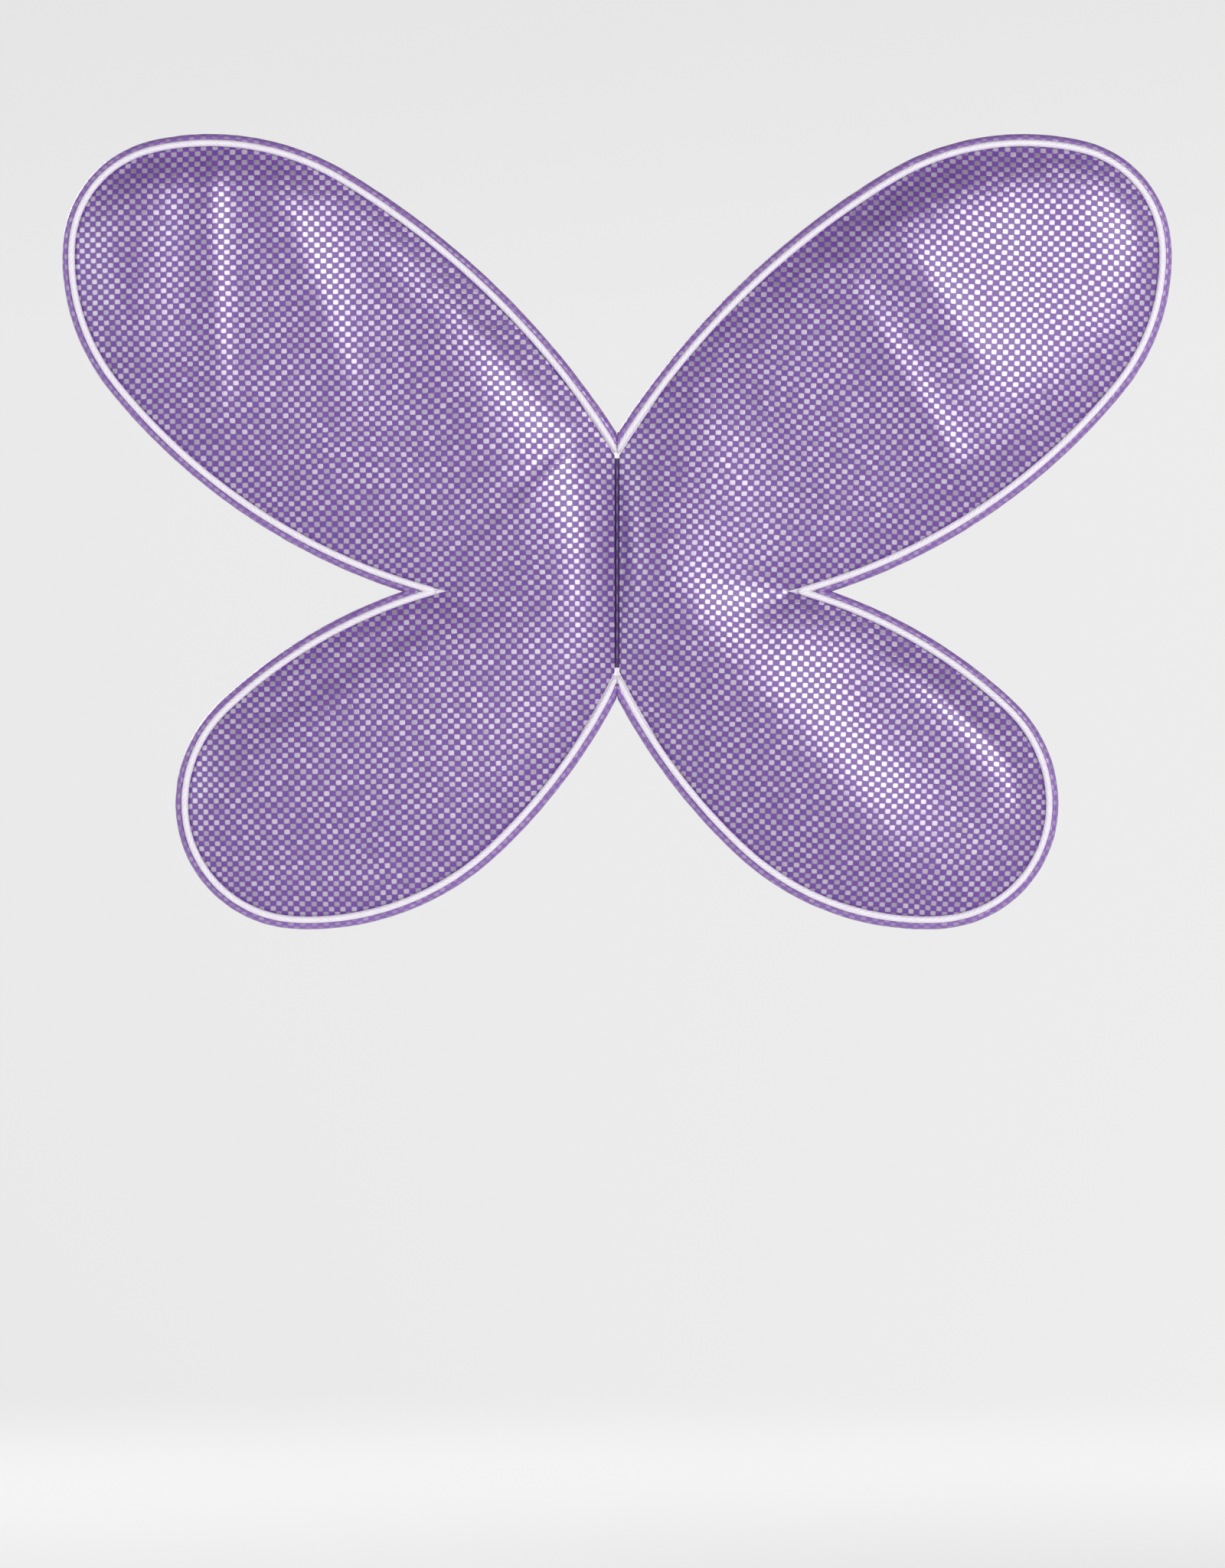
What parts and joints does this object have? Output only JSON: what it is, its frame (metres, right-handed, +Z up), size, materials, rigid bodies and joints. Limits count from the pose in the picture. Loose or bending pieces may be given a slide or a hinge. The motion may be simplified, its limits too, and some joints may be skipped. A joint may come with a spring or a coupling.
{
  "type": "fairy wings",
  "caption": "Doll-size padded butterfly-shaped fairy wings in dotted purple fabric with white satin piping, folding at a stitched spine with elastic arm loops.",
  "frame": {"origin": "middle of the back patch's flat face, which lies on the wearer's back", "axes": "+Y at the wearer, +X to the right seen from behind the wearer, +Z up"},
  "size_m": [0.2464, 0.0428, 0.1766],
  "materials": {
    "dotted_fabric": "purple satin with a staggered grid of small silver foil dots",
    "white_satin": "white satin piping",
    "felt": "purple felt",
    "seam_tape": "folded purple binding",
    "thread": "purple sewing thread",
    "elastic": "white ribbed elastic",
    "wadding": "white polyester wadding",
    "frame_wire": "drawn steel wire",
    "crimp_sleeve": "crimped tube"
  },
  "bodies": {
    "spine": {"back_patch": "felt", "patch_stitches": "thread", "centre_seam_tape": "seam_tape", "centre_seam_stitches": "thread", "arm_loop_tacks": "thread", "left_arm_loop": "elastic", "right_arm_loop": "elastic"},
    "left_wing": {"left_outer_panel": "dotted_fabric", "left_inner_panel": "dotted_fabric", "left_wadding": "wadding", "left_frame_wire": "frame_wire", "left_wire_sleeve": "crimp_sleeve", "left_piping_cord": "white_satin", "left_piping_tape": "white_satin"},
    "right_wing": {"right_outer_panel": "dotted_fabric", "right_inner_panel": "dotted_fabric", "right_wadding": "wadding", "right_frame_wire": "frame_wire", "right_wire_sleeve": "crimp_sleeve", "right_piping_cord": "white_satin", "right_piping_tape": "white_satin"}
  },
  "joints": [
    {"name": "left_wing_fold", "type": "hinge", "parent": "spine", "child": "left_wing", "pos_m": [0, -0.0054, 0], "axis": [0, 0, 1], "range_deg": [-5, 65], "stiffness_Nm_per_rad": 0.003},
    {"name": "right_wing_fold", "type": "hinge", "parent": "spine", "child": "right_wing", "pos_m": [0, -0.0054, 0], "axis": [0, 0, -1], "range_deg": [-5, 65], "stiffness_Nm_per_rad": 0.003}
  ]
}
